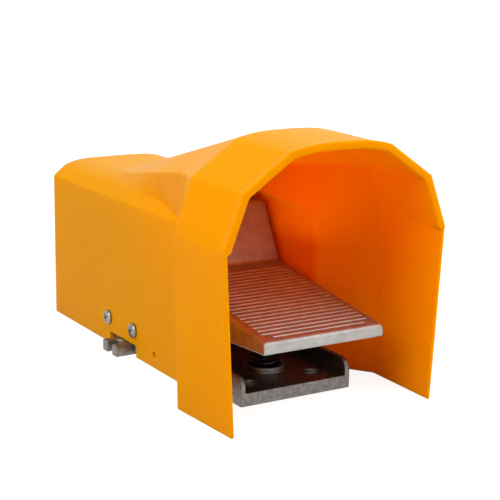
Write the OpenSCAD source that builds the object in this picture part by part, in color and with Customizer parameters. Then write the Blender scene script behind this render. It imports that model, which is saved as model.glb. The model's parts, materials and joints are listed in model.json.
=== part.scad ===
// Guarded pneumatic foot switch: a pedal under a moulded guard works a five-port spool valve.
// It stands on z = 0, the mouth of the guard faces -Y and the ports of the valve face +Y.

/* [Guard] */
// Length of the guard from its front rim to its rear edge
guard_l = 246; // [240:1:265]
// Wall of the guard
guard_wall = 3; // [2:0.1:4]
// Width of the hood across its shoulders
hood_w = 130; // [124:1:140]
// Width of the hood at the floor
hood_foot_w = 119; // [112:1:124]
// Length of the hood
hood_l = 48.8; // [42:0.2:56]
// Height of the hood's crown
hood_h = 137.5; // [132:0.5:150]
// Height of the hood's shoulders
shoulder_h = 89.7; // [85:0.1:95]
// Width of the hood across the top of its side facets
facet_w = 109; // [102:0.5:114]
// Height of the top of the side facets
facet_h = 117.2; // [112:0.1:122]
// Width of the arched crown
crown_w = 59; // [50:1:70]
// Wall of the lip around the hood's mouth
lip_t = 4; // [3.2:0.1:5]
// Depth of that lip
lip_l = 6; // [3:0.5:10]
// Length of the funnel between hood and box
funnel_l = 29; // [24:1:36]
// Width of the box
box_w = 83.4; // [80:0.2:90]
// Drop from the box's crown to the top of its walls
wall_drop = 9.3; // [7:0.1:11]
// Width of the box across the top of its chamfers
chamfer_w = 69; // [64:0.5:74]
// Drop from the box's crown to the top of those chamfers
chamfer_drop = 3.5; // [2:0.1:5]
// Height of the box's crown above the pedal's hump
box_rise = 10.2; // [9.5:0.1:16]
// Width of the roof where it leaves the funnel
neck_w = 88; // [84:0.5:92]
// Height of the roof's edges there above the box's crown
neck_rise = 18.3; // [14:0.1:20]
// Width between the two points where the roof's edges run out on the box
tip_w = 45.3; // [38:0.1:52]
// Distance of those points from the rear edge
tip_back = 55; // [48:1:62]
// Distance of the ridge's end from the rear edge
ridge_back = 43; // [36:1:47]
// Distance of the vent holes from the middle of the lugs
vent_ahead = 36.2; // [30:0.1:44]
// Height of the vent holes
vent_h = 7.7; // [6:0.1:12]
// Diameter of the vent holes
vent_d = 3.8; // [2:0.1:5]

/* [Base] */
// Distance of the base's front face from the guard's front rim
base_setback = 34.7; // [30:0.1:40]
// Distance of the base's rear face from the guard's rear edge
base_rear_gap = 8; // [4:0.5:9]
// Gap between the base's sides and the inside of the guard
base_side_gap = 5.3; // [4.5:0.1:6]
// Height of the base's floor
base_floor = 7.1; // [6.6:0.1:8]
// Wall of the base
base_wall = 3; // [2.4:0.1:3.6]
// Height of the base's side walls
base_wall_h = 16; // [14:0.1:17]
// Rounding of the side walls' front corners
base_corner_r = 6; // [3:0.5:8]
// Depth of the pockets under the floor
pocket_h = 3.8; // [3:0.1:4]
// Distance between the two mounting holes
mount_pitch = 38.4; // [34:0.2:42]
// Distance of the mounting holes from the base's front face
mount_setback = 13.8; // [11:0.1:15]
// Diameter of the mounting holes
mount_d = 5.5; // [4.5:0.1:6.5]
// Diameter of their counterbores
mount_sink_d = 9.6; // [9:0.1:11]
// Depth of their counterbores
mount_sink_h = 2.5; // [1.5:0.1:3]
// Reach of the forked lugs from the middle of the base
lug_reach = 51.2; // [49:0.1:56]
// Length of each lug along the base
lug_l = 17.6; // [15:0.1:20]
// Thickness of the lugs
lug_t = 6.5; // [5:0.1:7.5]
// Width of the slot in each lug
lug_slot_w = 6; // [4.5:0.1:8]
// Depth of that slot
lug_slot_l = 8.5; // [6:0.1:9]
// Distance of the lugs' middle from the guard's rear edge
lug_back = 96.8; // [93:0.1:100]

/* [Pedal] */
// Gap between the pedal's sides and the inside of the guard
pedal_side_gap = 2.95; // [2.6:0.05:3.2]
// Distance of the pedal's nose from the guard's front rim
pedal_setback = 9.8; // [6:0.1:16]
// Height of the tread at its nose
nose_h = 41.2; // [39:0.1:46]
// Rounding of the nose
nose_r = 3; // [1.5:0.1:4]
// Height of the nose's front face
nose_t = 6.8; // [5:0.1:8]
// Drop from the nose's lower edge to the skirts' lower edge
skirt_drop = 1.9; // [0.5:0.1:3]
// Length over which the skirts drop
skirt_drop_l = 32; // [20:1:45]
// Slope of the tread in degrees
tread_tilt = 7.7; // [6:0.1:9]
// Length of the tread along its slope
tread_l = 96; // [90:1:100]
// Slope of the toe panel in degrees
panel_tilt = 61.4; // [55:0.1:70]
// Height of the hump above the pivot
hump_rise = 17.5; // [15.5:0.1:19]
// Thickness of tread and hump
skin_t = 4; // [3:0.1:4.5]
// Thickness of the cheeks and skirts
cheek_t = 5; // [4:0.1:6]
// Distance between ribs
rib_pitch = 4.1; // [3:0.1:6]
// Radius of a rib
rib_r = 1.1; // [0.8:0.1:1.4]
// Height of a rib above the tread
rib_h = 0.7; // [0.4:0.1:0.8]
// Distance of the first rib from the nose
rib_start = 3.3; // [2:0.1:6]
// Length of the smooth strip between the last rib and the toe panel
rib_rest = 8; // [4:0.5:14]
// Distance of the ribs' ends from the pedal's sides
rib_margin = 3.6; // [2:0.1:8]
// Angle through which the pedal is pressed
pedal_angle = 4.5; // [3:0.1:4.6]
// Diameter of the pivot pin
pin_d = 8; // [6:0.5:9]
// Distance of the pivot from the guard's rear edge
pivot_back = 31; // [30:0.5:34]
// Height of the pivot above the valve body's top
pivot_rise = 7.9; // [7:0.1:9]
// Length of the cheeks behind the pivot
cheek_tail = 14; // [12:0.5:15]
// Distance of the pedal spring from the base's front face
spring_setback = 30.9; // [27:0.1:36]
// Outer diameter of the pedal spring
spring_d = 16; // [13:0.5:18]
// Wire of the pedal spring
spring_wire = 1.8; // [1.2:0.1:2.2]
// Turns of the pedal spring
spring_turns = 7; // [5:1:9]
// Distance of the bumpers behind the spring
bumper_back = 22.4; // [18:0.1:30]
// Gap between the bumpers and the base's side walls
bumper_side_gap = 3.4; // [2:0.1:6]
// Diameter of the bumpers
bumper_d = 10; // [8:0.5:12]

/* [Valve] */
// Length of the valve body
valve_l = 83; // [80:1:90]
// Gap between the valve body's sides and the pedal's cheeks
valve_side_gap = 3.2; // [2.4:0.1:4]
// Distance of the ports' face from the guard's rear edge
port_setback = 10; // [9:0.5:14]
// Diameter of the ports
port_d = 11.8; // [8:0.1:12]
// Depth of the ports
port_l = 12; // [9:0.5:14]
// Height of the lowest port above the base's floor
port_foot = 9.9; // [9:0.1:11]
// Step in height from one port to the next
port_step = 9; // [8:0.1:10]
// Height of the valve body above the highest port
port_head = 7.1; // [6.5:0.1:9]
// Distance between the two columns of ports
port_columns = 22; // [20:0.5:24]
// Diameter of the spool
spool_d = 14; // [12:0.5:15]
// Distance of the spool from the pivot
spool_arm = 42; // [40:0.5:44]
// Diameter of the plunger
plunger_d = 8; // [7:0.5:9]
// Distance of the cap's screws from the spool's bore
cap_screw_gap = 10.5; // [9.5:0.1:12]
// Distance of the cap's ends from its screws
cap_end = 3.5; // [3:0.1:4.5]
// Thickness of the valve's cap
cap_t = 3.8; // [3:0.1:4]
// Thickness of the cap's gasket
gasket_t = 0.5; // [0.3:0.1:0.8]
// Diameter of the adjuster screw
adjuster_d = 8; // [6:0.5:9]

/* [Fasteners] */
// Diameter of the guard's screws
guard_screw_d = 4; // [3:0.5:5]
// Gap between the screws' bosses and the valve body
boss_gap = 0.6; // [0.4:0.1:1.5]
// Distance between the two screws on each side
guard_screw_pitch = 31.6; // [28:0.1:36]
// Distance of their middle from the guard's rear edge
guard_screw_back = 92.5; // [88:0.1:96]
// Height of the guard's screws
guard_screw_h = 15.3; // [14:0.1:17]
// Diameter of the valve's screws
valve_screw_d = 5; // [4:0.5:6]
// Length of the valve's screws under the head
valve_screw_l = 16; // [12:1:18]
// Distance of the valve's screws from its sides
valve_screw_inset = 6.5; // [5:0.1:7]
// Distance of the front screws from the valve body's front face
valve_screw_front = 8; // [6:0.5:12]
// Distance of the rear screws from the bottom of the ports
valve_screw_rear = 6; // [5:0.5:12]
// Diameter of the cap's screws
cap_screw_d = 4; // [3:0.5:4]
// Length of the cap's screws under the head
cap_screw_l = 11; // [8:0.5:12]

/* [Clearances] */
// Radial gap of a piece that is fixed in its hole
fit_gap = 0.02; // [0.01:0.01:0.04]
// Radial gap of a piece that turns or slides in its hole
run_gap = 0.05; // [0.02:0.01:0.08]
// Gap between pieces that move past each other
move_gap = 0.3; // [0.2:0.05:0.5]
// Radial gap of a screw in a through hole
screw_gap = 0.2; // [0.1:0.05:0.4]
// Gap around the lugs in the guard's notches
notch_gap = 0.5; // [0.3:0.1:1]

/* [Hidden] */
$fn = 48;
cut = 1;

// Heights, stacked from the base's floor up to the guard's crown
valve_h = port_foot + 4 * port_step + port_head;
valve_top = base_floor + valve_h;
pivot_h = valve_top + pivot_rise;
hump_h = pivot_h + hump_rise;
box_h = hump_h + box_rise;
box_wall_h = box_h - wall_drop;
chamfer_h = box_h - chamfer_drop;
neck_h = box_h + neck_rise;
nose_foot_h = nose_h - nose_t;
skirt_h = nose_foot_h - skirt_drop;

// Stations along the guard
guard_front = -guard_l / 2;
guard_rear = guard_l / 2;
hood_rear = guard_front + hood_l;
funnel_rear = hood_rear + funnel_l;
tip_y = guard_rear - tip_back;
ridge_end = guard_rear - ridge_back;
roof_run_out = 8;
roof_tail = ridge_end + roof_run_out;
roof_steps = 8;
hood_draft = 2.4;
hood_taper = 1.1;

// The crown and the box top as shares of their half width, and how steeply they curve
crown_steps = 4;
crown_shares = [1, for (i = [0:crown_steps]) crown_w / facet_w * (1 - i / crown_steps)];
hood_curve = 3;
tail_curve = 2;
box_shares = [1, 0.86, 0.7, 0.45, 0.2, 0];
box_curve = 5;

// Lean of the roof's side facets along the roof, outwards for each millimetre down
neck_lean = (box_w - neck_w) / 2 / (neck_h - box_wall_h);
facet_lean = [[0, neck_lean], [0.37, -0.095], [0.62, 0.376], [1.2, 1]];
tip_depth = 12;
tip_sink = 0.6;
roof_foot_in = 2;

// Half widths
guard_in = box_w / 2 - guard_wall;
base_half = guard_in - base_side_gap;
pedal_half = guard_in - pedal_side_gap;
cheek_in = pedal_half - cheek_t;
valve_half = cheek_in - valve_side_gap;

// Places along the part
base_front = guard_front + base_setback;
base_rear = guard_rear - base_rear_gap;
mount_y = base_front + mount_setback;
lug_y = guard_rear - lug_back;
notch_ahead = 5.9;
notch_behind = 10;
notch_front = lug_y - lug_l / 2 - notch_ahead;
notch_rear = lug_y + lug_l / 2 + notch_behind;
guard_screw_ys = [for (s = [-1, 1]) guard_rear - guard_screw_back + s * guard_screw_pitch / 2];
vent_y = lug_y - vent_ahead;
pivot_y = guard_rear - pivot_back;
spool_y = pivot_y - spool_arm;
valve_rear = guard_rear - port_setback;
valve_front = valve_rear - valve_l;
valve_head_r = valve_screw_d * 0.95;
valve_seat_h = valve_screw_d * 0.72;
valve_screw_x = valve_half - valve_screw_inset;
valve_screw_ys = [valve_front + valve_screw_front, valve_rear - port_l - valve_screw_rear];
spring_y = base_front + spring_setback;
bumper_y = spring_y + bumper_back;
pedal_front = guard_front + pedal_setback;

// Bosses of the guard screws
boss_r = guard_screw_d / 2 + 3.3;
boss_in = valve_half + boss_gap;
boss_end = 1.6;
guard_screw_l = box_w / 2 - boss_in - boss_end;

// Pedal spring and its seats
spring_ring_r = spring_d / 2 + 3;
spring_ring_h = base_floor + 3.3;
spring_seat_h = base_floor - 1.1;
spring_top_h = nose_h - 0.2;
spring_bore_r = spring_d / 2 + 0.6;
spring_spigot_r = spring_d / 2 - spring_wire - 0.8;
spring_spigot_l = 5;

// Outline of the tread
nose_end = [pedal_front + nose_r - nose_r * sin(tread_tilt), nose_h - nose_r + nose_r * cos(tread_tilt)];
toe = nose_end + tread_l * [cos(tread_tilt), sin(tread_tilt)];
hump_front = toe[0] + (hump_h - toe[1]) / tan(panel_tilt);
hump_drop = 8.5;
cheek_rear = pivot_y + cheek_tail;
hump_rear = cheek_rear - hump_drop;
hump_chamfer = 3;
heel_l = 6;
heel_h = base_wall_h + move_gap;
skirt_front = pedal_front + skirt_drop_l;
rib_count = floor((tread_l - rib_start - rib_rest) / rib_pitch) + 1;

// Bumpers meet the base's floor when the pedal is down
bumper_r = bumper_d / 2;
bumper_x = base_half - base_wall - bumper_side_gap - bumper_r;
bumper_t = 3;
bumper_stem_r = 2;
bumper_stem_l = 6;
bumper_foot_h = pivot_h + (base_floor + move_gap + bumper_r * sin(pedal_angle) - pivot_h
    + (pivot_y - bumper_y) * sin(pedal_angle)) / cos(pedal_angle);

// Pivot
pin_r = pin_d / 2;
pin_end = guard_in - 0.7;
bush_r = pin_r + 2;
bush_l = 12;
bush_flange_w = 4;
bush_flange_r = pin_r + bush_flange_w;
bush_flange_t = valve_side_gap - move_gap;
pivot_ridge_r = bush_r + 2.5;
circlip_t = 1;
circlip_r = pin_r + 3;
circlip_groove = pin_r - 0.8;
circlip_x = pedal_half + 0.2;

// Valve
port_hs = [for (i = [0:4]) base_floor + port_foot + i * port_step];
gallery_r = 3;
groove_depth = 3.5;
groove_r = spool_d / 2 + groove_depth;
groove_l = 6;
bore_r = spool_d / 2;
spool_r = bore_r - run_gap;
spool_lift = 7.4;
spool_sink = 3.6;
spool_foot = base_floor + spool_lift;
spool_top = valve_top - spool_sink;
waist_r = spool_r - 1.5;
waist_l = 6;
seal_wire = 1.5;
seal_hs = [spool_foot + 1.4, for (i = [0:3]) (port_hs[i] + port_hs[i + 1]) / 2, spool_top - 1.5];
groove_gap = 0.1;
seal_groove_r = spool_r - seal_wire - groove_gap / 2;
stub_r = plunger_d / 2 - 1.5;
stub_l = 6;
plug_r = bore_r + 2.5;
plug_t = 3.5;
plug_seal_wire = 1.2;
coil_r = bore_r - 2.8;
coil_wire = 1;
coil_turns = 6;
coil_pocket_l = 9.5;
coil_top = spool_foot + coil_pocket_l;
plunger_r = plunger_d / 2;
plunger_top = pivot_h - move_gap / 2;
cap_screw_x = bore_r + cap_screw_gap;
cap_half_x = cap_screw_x + cap_end;
cap_half_y = bore_r + 2;
cap_foot = valve_top + gasket_t;
gasket_gap = 1;
wiper_r = plunger_r + 2.5;
wiper_t = 2;

// Adjuster
adjuster_r = adjuster_d / 2;
adjuster_foot = pivot_h + move_gap / 2;
adjuster_boss_wall = 5;
adjuster_boss_r = adjuster_r + adjuster_boss_wall;
adjuster_boss_l = 11;
adjuster_boss_h = hump_h - adjuster_boss_l;
nut_t = adjuster_d * 0.8;
nut_r = adjuster_d * 0.94;
adjuster_top = hump_h + nut_t + 2;

function mix(a, b, t) = a + (b - a) * t;

// Height of the ridge of the roof at y
function ridge_h(y) = y < hood_rear ? hood_h
    : mix(hood_h, box_h, (y - hood_rear) / (ridge_end - hood_rear));

// Height of the tread at y
function tread_h(y) = nose_end[1] + (y - nose_end[0]) * tan(tread_tilt);

// Points of an arch from its right edge to its crown
function arch(edge, crown, shares, curve) =
    [for (u = shares) [edge[0] * u, crown - (crown - edge[1]) * pow(u, curve)]];

// Right half of the guard's sections, from the floor up to the crown
function hood_half(foot_x, shoulder_x) = concat([[foot_x, 0], [shoulder_x, shoulder_h]],
    arch([facet_w / 2, facet_h], hood_h, crown_shares, hood_curve));
function neck_half() = concat([[box_w / 2, 0], [box_w / 2, box_wall_h]],
    arch([neck_w / 2, neck_h], ridge_h(funnel_rear), crown_shares, hood_curve));
function roof_half(y) =
    let (t = (y - funnel_rear) / (tip_y - funnel_rear),
        edge = [mix(neck_w, tip_w, t) / 2, mix(neck_h, box_h - tip_sink, t)],
        low = edge + mix(neck_h - box_wall_h, tip_depth, t) * [lookup(t, facet_lean), -1])
    concat([[low[0] - roof_foot_in, 0], low],
        arch(edge, ridge_h(y), crown_shares, mix(hood_curve, tail_curve, t)));
function box_half() = concat([[box_w / 2, 0], [box_w / 2, box_wall_h]],
    arch([chamfer_w / 2, chamfer_h], box_h, box_shares, box_curve));

// Outward normal of the edge from a to b, and a half section moved inwards by a wall for each point
function normal(a, b) = let (d = (b - a) / norm(b - a)) [d[1], -d[0]];
function inset(half, walls) = [for (i = [0:len(half) - 1])
    let (last = len(half) - 1,
        before = i == 0 ? half[0] - [0, 1] : half[i - 1],
        after = i == last ? [-half[i - 1][0], half[i - 1][1]] : half[i + 1],
        n = normal(before, half[i]), m = normal(half[i], after),
        p = half[i] - walls[i] * (n + m) / (1 + n * m))
    i == 0 ? [p[0], -cut] : p];
function wall_of(half) = [for (p = half) guard_wall];
function lip_of(half) = [for (i = [0:len(half) - 1]) i < 2 ? guard_wall : lip_t];
function whole(half) = concat(half, [for (i = [len(half) - 2:-1:0]) [-half[i][0], half[i][1]]]);

// Stations of the hood and roof: y and the right half of the section there
front_half = hood_half(hood_foot_w / 2, hood_w / 2);
band_half = hood_half(hood_foot_w / 2 + hood_draft, hood_w / 2 - hood_taper);
roof_stations = [[hood_rear, band_half], [funnel_rear, neck_half()],
    for (i = [1:roof_steps]) let (y = mix(funnel_rear, roof_tail, i / roof_steps)) [y, roof_half(y)]];
outer_stations = concat([[guard_front, front_half]], roof_stations);
inner_stations = concat(
    [[guard_front - cut, inset(front_half, lip_of(front_half))],
        [guard_front + lip_l, inset(front_half, lip_of(front_half))],
        [guard_front + lip_l + guard_wall / 4, inset(front_half, wall_of(front_half))]],
    [for (s = roof_stations) [s[0], inset(s[1], wall_of(s[1]))]]);

module both_sides() {
    children();
    mirror([1, 0, 0]) children();
}

// An outline drawn in Y and Z, extruded along X
module along_x(from, to) {
    translate([from, 0, 0]) rotate([90, 0, 90]) linear_extrude(to - from) children();
}

// An outline drawn in X and Z, extruded along Y
module along_y(from, to) {
    translate([0, to, 0]) rotate([90, 0, 0]) linear_extrude(to - from) children();
}

// A cylinder along X, from one x to another
module rod_x(from, to, y, z, r) {
    translate([from, y, z]) rotate([0, 90, 0]) cylinder(h = to - from, r = r);
}

module rod_z(x, y, from, to, r) {
    translate([x, y, from]) cylinder(h = to - from, r = r);
}

// A solid through sections that all have the same number of points
module loft(stations) {
    rings = [for (s = stations) [for (p = whole(s[1])) [p[0], s[0], p[1]]]];
    n = len(rings[0]);
    last = len(rings) - 1;
    sides = [for (k = [0:last - 1]) for (j = [0:n - 1])
        let (a = k * n + j, b = k * n + (j + 1) % n) each [[a, b, a + n], [b, b + n, a + n]]];
    front_cap = [for (j = [n - 1:-1:0]) j];
    rear_cap = [for (j = [0:n - 1]) last * n + j];
    polyhedron(points = [for (ring = rings) each ring], faces = concat(sides, [front_cap, rear_cap]));
}

// A wire wound around Z from one height to another
module coil(radius, wire_r, from, to, turns, steps = 16, sides = 8) {
    count = turns * steps;
    rise = (to - from - 2 * wire_r) / count;
    rings = [for (i = [0:count]) let (a = i * 360 / steps, z = from + wire_r + i * rise)
        [for (j = [0:sides - 1]) let (b = j * 360 / sides, r = radius + wire_r * cos(b))
            [r * cos(a), r * sin(a), z + wire_r * sin(b)]]];
    skin = [for (i = [0:count - 1]) for (j = [0:sides - 1])
        let (p = i * sides + j, q = i * sides + (j + 1) % sides)
            each [[p, q, p + sides], [q, q + sides, p + sides]]];
    start_cap = [for (j = [sides - 1:-1:0]) j];
    end_cap = [for (j = [0:sides - 1]) count * sides + j];
    polyhedron(points = [for (ring = rings) each ring], faces = concat(skin, [start_cap, end_cap]));
}

// A round seal of round wire, lying flat
module seal_ring(radius, wire_r) {
    rotate_extrude() translate([radius, 0]) circle(wire_r, $fn = 24);
}

// A cross-head screw along Z: its head stands on z = 0, its shank points down
module cross_screw(d, l) {
    head_r = d * 1.05;
    head_t = d * 0.62;
    slot_l = d * 1.15;
    slot_w = d * 0.24;
    difference() {
        union() {
            rotate_extrude() polygon([[0, 0], [head_r, 0], [head_r, head_t * 0.45],
                [head_r * 0.86, head_t * 0.8], [head_r * 0.55, head_t], [0, head_t]]);
            rod_z(0, 0, -l, 0, d / 2);
        }
        for (turn = [0, 90]) rotate(turn)
            translate([-slot_l / 2, -slot_w / 2, head_t * 0.4]) cube([slot_l, slot_w, head_t]);
    }
}

module guard_form(stations, section, from, to) {
    loft(stations);
    along_y(from, to) polygon(whole(section));
}

module guard() {
    section = box_half();
    color("orange") difference() {
        guard_form(outer_stations, section, funnel_rear, guard_rear);
        guard_form(inner_stations, inset(section, wall_of(section)), funnel_rear, guard_rear + cut);
        both_sides() {
            for (y = guard_screw_ys)
                rod_x(guard_in - cut, box_w / 2 + cut, y, guard_screw_h, guard_screw_d / 2 + screw_gap);
            rod_x(guard_in - cut, box_w / 2 + cut, vent_y, vent_h, vent_d / 2);
            translate([guard_in - cut, notch_front, -cut])
                cube([guard_wall + 2 * cut, notch_rear - notch_front, lug_t + notch_gap + cut]);
        }
    }
}

module guard_screws() {
    color("gainsboro") both_sides() for (y = guard_screw_ys)
        translate([box_w / 2, y, guard_screw_h]) rotate([0, 90, 0])
            cross_screw(guard_screw_d, guard_screw_l);
}

module base_side() {
    translate([base_front + base_corner_r, 0])
        square([base_rear - base_front - base_corner_r, base_wall_h]);
    translate([base_front, 0]) square([base_corner_r, base_wall_h - base_corner_r]);
    translate([base_front + base_corner_r, base_wall_h - base_corner_r]) circle(base_corner_r);
}

module lug() {
    slot_r = lug_slot_w / 2;
    slot_x = lug_reach - lug_slot_l + slot_r;
    difference() {
        translate([base_half - base_wall, lug_y - lug_l / 2, 0])
            cube([lug_reach - base_half + base_wall, lug_l, lug_t]);
        rod_z(slot_x, lug_y, -cut, lug_t + cut, slot_r);
        translate([slot_x, lug_y - slot_r, -cut]) cube([lug_slot_l, lug_slot_w, lug_t + 2 * cut]);
    }
}

module base_pockets() {
    edge = base_wall + 1;
    rib = 3;
    front = mount_y + mount_sink_d;
    rear = notch_front - rib;
    cell_w = base_half - edge - rib / 2;
    cell_l = (rear - front - 2 * rib) / 3;
    both_sides() for (i = [0:2])
        translate([rib / 2, front + i * (cell_l + rib), -cut]) cube([cell_w, cell_l, pocket_h + cut]);
    rear_half = valve_screw_x - valve_screw_d - rib;
    translate([-rear_half, notch_rear + rib, -cut])
        cube([2 * rear_half, valve_rear - notch_rear - 4 * rib, pocket_h + cut]);
}

module base() {
    color("darkgray") difference() {
        union() {
            translate([-base_half, base_front, 0])
                cube([2 * base_half, base_rear - base_front, base_floor]);
            rod_z(0, spring_y, 0, spring_ring_h, spring_ring_r);
            both_sides() {
                along_x(base_half - base_wall, base_half) base_side();
                lug();
                for (y = guard_screw_ys) along_x(boss_in, guard_in) {
                    translate([y, guard_screw_h]) circle(boss_r);
                    translate([y - boss_r, 0]) square([2 * boss_r, guard_screw_h]);
                }
            }
        }
        base_pockets();
        rod_z(0, spring_y, spring_seat_h, spring_ring_h + cut, spring_bore_r);
        both_sides() {
            rod_z(mount_pitch / 2, mount_y, -cut, base_floor + cut, mount_d / 2);
            rod_z(mount_pitch / 2, mount_y, base_floor - mount_sink_h, base_floor + cut, mount_sink_d / 2);
            for (y = valve_screw_ys) {
                rod_z(valve_screw_x, y, -cut, base_floor + cut, valve_screw_d / 2 + screw_gap);
                rod_z(valve_screw_x, y, -cut, valve_seat_h, valve_head_r + move_gap);
            }
            for (y = guard_screw_ys)
                rod_x(boss_in - cut, guard_in + cut, y, guard_screw_h, guard_screw_d / 2 + fit_gap);
        }
    }
}

// Side outline of the pedal; the cheeks also have the heel that rests over the base
module pedal_outline(heel) {
    arc = [for (a = [180:-15:105]) a, 90 + tread_tilt];
    nose = [for (a = arc) [pedal_front + nose_r + nose_r * cos(a), nose_h - nose_r + nose_r * sin(a)]];
    heel_points = [[cheek_rear, heel_h], [cheek_rear - heel_l, heel_h], [cheek_rear - heel_l, skirt_h]];
    polygon(concat([[pedal_front, nose_foot_h]], nose,
        [toe, [hump_front, hump_h], [hump_rear, hump_h], [cheek_rear, hump_h - hump_drop]],
        heel ? heel_points : [[cheek_rear, skirt_h]],
        [[skirt_front, skirt_h]]));
}

module pedal_ribs() {
    for (i = [0:rib_count - 1]) {
        run = rib_start + i * rib_pitch;
        half = pedal_half - rib_margin - (i == 0 ? rib_pitch : 0);
        y = nose_end[0] + run * cos(tread_tilt);
        rod_x(-half, half, y, tread_h(y) + (rib_h - rib_r) / cos(tread_tilt), rib_r);
    }
}

module pedal() {
    sunk = 2.4;
    chamfer_side = hump_chamfer * sqrt(2);
    color("silver") difference() {
        union() {
            both_sides() along_x(cheek_in, pedal_half) pedal_outline(true);
            along_x(-pedal_half, pedal_half) difference() {
                pedal_outline(false);
                translate([skin_t * 0.9, -skin_t]) pedal_outline(false);
            }
            pedal_ribs();
            rod_z(0, spring_y, spring_top_h, tread_h(spring_y) - sunk, spring_ring_r);
            rod_z(0, spring_y, spring_top_h - spring_spigot_l, tread_h(spring_y) - sunk, spring_spigot_r);
            both_sides()
                rod_z(bumper_x, bumper_y, bumper_foot_h + bumper_t, tread_h(bumper_y) - sunk, bumper_r);
            rod_z(0, spool_y, adjuster_boss_h, hump_h - skin_t / 2, adjuster_boss_r);
        }
        both_sides() {
            rod_x(cheek_in - cut, pedal_half + cut, pivot_y, pivot_h, pin_r + fit_gap);
            rod_z(bumper_x, bumper_y, bumper_foot_h, bumper_foot_h + bumper_t + bumper_stem_l + cut,
                bumper_stem_r + fit_gap);
            translate([pedal_half, hump_front - 2 * chamfer_side, hump_h]) rotate([0, 45, 0])
                translate([-chamfer_side / 2, 0, -chamfer_side / 2])
                    cube([chamfer_side, cheek_rear - hump_front + 3 * chamfer_side, chamfer_side]);
        }
        rod_z(0, spool_y, adjuster_boss_h - cut, hump_h + cut, adjuster_r + fit_gap);
    }
}

module pivot_pin() {
    color("lightgray") difference() {
        rod_x(-pin_end, pin_end, pivot_y, pivot_h, pin_r);
        both_sides() difference() {
            rod_x(circlip_x, circlip_x + circlip_t + 0.1, pivot_y, pivot_h, pin_r + cut);
            rod_x(circlip_x - cut, circlip_x + circlip_t + cut, pivot_y, pivot_h, circlip_groove);
        }
    }
}

module pivot_bushes() {
    color("darkgoldenrod") both_sides() difference() {
        union() {
            rod_x(valve_half - bush_l, valve_half, pivot_y, pivot_h, bush_r);
            rod_x(valve_half, valve_half + bush_flange_t, pivot_y, pivot_h, bush_flange_r);
        }
        rod_x(valve_half - bush_l - cut, valve_half + bush_flange_t + cut, pivot_y, pivot_h,
            pin_r + run_gap);
    }
}

module pivot_circlips() {
    gap_w = circlip_groove * 1.5;
    color("dimgray") both_sides() difference() {
        rod_x(circlip_x, circlip_x + circlip_t, pivot_y, pivot_h, circlip_r);
        rod_x(circlip_x - cut, circlip_x + circlip_t + cut, pivot_y, pivot_h, circlip_groove + fit_gap);
        translate([circlip_x - cut, pivot_y - gap_w / 2, pivot_h - circlip_r - cut])
            cube([circlip_t + 2 * cut, gap_w, circlip_r + cut]);
    }
}

module pedal_bumpers() {
    seat = bumper_foot_h + bumper_t;
    color("black") both_sides() union() {
        rod_z(bumper_x, bumper_y, bumper_foot_h, seat, bumper_r);
        rod_z(bumper_x, bumper_y, bumper_foot_h, seat + bumper_stem_l, bumper_stem_r);
    }
}

module pedal_spring() {
    color("dimgray") translate([0, spring_y, 0])
        coil((spring_d - spring_wire) / 2, spring_wire / 2, spring_seat_h, spring_top_h - move_gap / 3,
            spring_turns);
}

module adjuster_screw() {
    socket_r = adjuster_r * 0.55;
    socket_l = adjuster_r;
    color("gray") difference() {
        rod_z(0, spool_y, adjuster_foot, adjuster_top, adjuster_r);
        translate([0, spool_y, adjuster_top - socket_l])
            cylinder(h = socket_l + cut, r = socket_r, $fn = 6);
    }
}

module adjuster_nut() {
    color("gainsboro") translate([0, spool_y, hump_h]) difference() {
        cylinder(h = nut_t, r = nut_r, $fn = 6);
        translate([0, 0, -cut]) cylinder(h = nut_t + 2 * cut, r = adjuster_r + fit_gap);
    }
}

module valve_ports() {
    for (i = [0:4]) {
        x = (i % 2 == 0 ? 1 : -1) * port_columns / 2;
        translate([x, valve_rear + cut, port_hs[i]]) rotate([90, 0, 0]) {
            cylinder(h = port_l + cut, r = port_d / 2);
            cylinder(h = valve_rear - spool_y + cut, r = gallery_r);
        }
        rod_z(0, spool_y, port_hs[i] - groove_l / 2, port_hs[i] + groove_l / 2, groove_r);
    }
}

module valve_body() {
    color("silver") difference() {
        union() {
            translate([-valve_half, valve_front, base_floor]) cube([2 * valve_half, valve_l, valve_h]);
            rod_x(-valve_half, valve_half, pivot_y, pivot_h, pivot_ridge_r);
            translate([-valve_half, pivot_y - pivot_ridge_r, valve_top - cut])
                cube([2 * valve_half, 2 * pivot_ridge_r, pivot_h - valve_top + cut]);
        }
        valve_ports();
        rod_z(0, spool_y, base_floor - cut, valve_top + cut, bore_r);
        rod_z(0, spool_y, base_floor - cut, base_floor + plug_t, plug_r + fit_gap);
        rod_x(-valve_half - cut, valve_half + cut, pivot_y, pivot_h, bush_r + fit_gap);
        both_sides() {
            for (y = valve_screw_ys)
                rod_z(valve_screw_x, y, base_floor - cut, valve_seat_h + valve_screw_l + cut,
                    valve_screw_d / 2 + fit_gap);
            rod_z(cap_screw_x, spool_y, cap_foot + cap_t - cap_screw_l - cut, valve_top + cut,
                cap_screw_d / 2 + fit_gap);
        }
    }
}

module valve_screws() {
    socket_r = valve_screw_d * 0.45;
    color("dimgray") both_sides() for (y = valve_screw_ys) difference() {
        union() {
            rod_z(valve_screw_x, y, valve_screw_d * 0.12, valve_seat_h, valve_head_r);
            rod_z(valve_screw_x, y, valve_seat_h - cut / 2, valve_seat_h + valve_screw_l,
                valve_screw_d / 2);
        }
        translate([valve_screw_x, y, -cut]) cylinder(h = valve_seat_h * 0.7 + cut, r = socket_r, $fn = 6);
    }
}

// The plate of the valve's cap, from one height to another
module cap_plate(from, to) {
    translate([-cap_half_x, spool_y - cap_half_y, from]) cube([2 * cap_half_x, 2 * cap_half_y, to - from]);
}

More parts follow.
